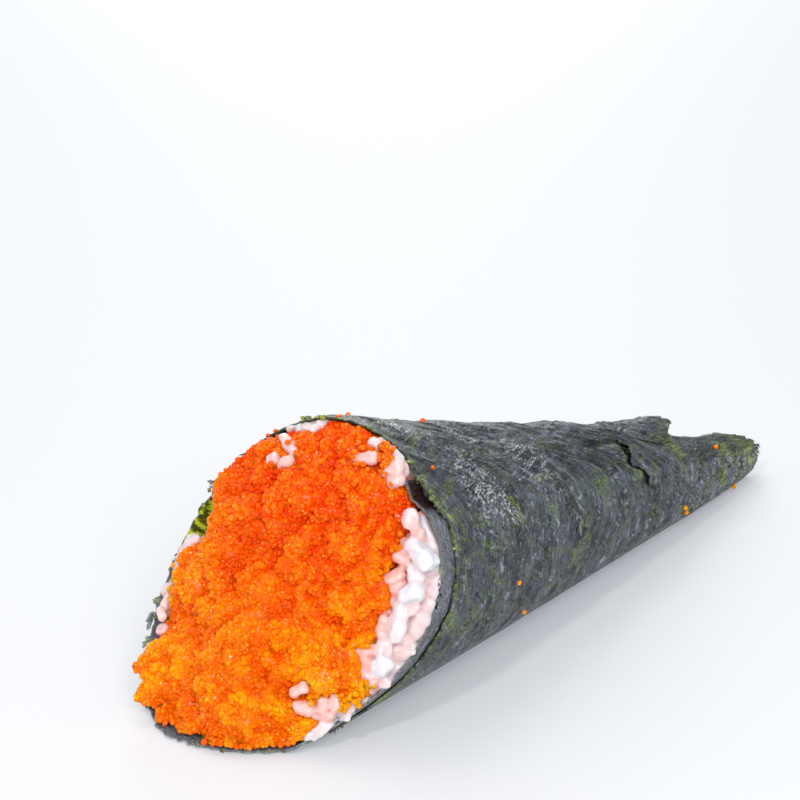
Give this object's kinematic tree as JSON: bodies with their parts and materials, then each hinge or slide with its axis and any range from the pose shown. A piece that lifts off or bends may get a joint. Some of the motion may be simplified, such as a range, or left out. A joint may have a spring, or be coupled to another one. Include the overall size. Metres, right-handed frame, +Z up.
{
  "type": "temaki hand roll",
  "caption": "Cone-shaped hand roll of dark seaweed filled with rice, its slanted mouth heaped with orange fish roe, lying on its side.",
  "frame": {"origin": "on the table, below the middle of the roll's length and width", "axes": "+Y along the roll from its mouth to its tip, +Z up, +X to the right for someone who looks into the mouth"},
  "size_m": [0.0537, 0.1764, 0.0498],
  "materials": {
    "nori": "thin fibrous dark green seaweed sheet with a soft bluish sheen",
    "rice": "moist translucent cooked rice, white with a pink tint next to the roe",
    "roe": "glossy translucent orange fish eggs"
  },
  "bodies": {
    "root": {"nori": "nori", "rice": "rice", "roe": "roe"}
  },
  "joints": []
}
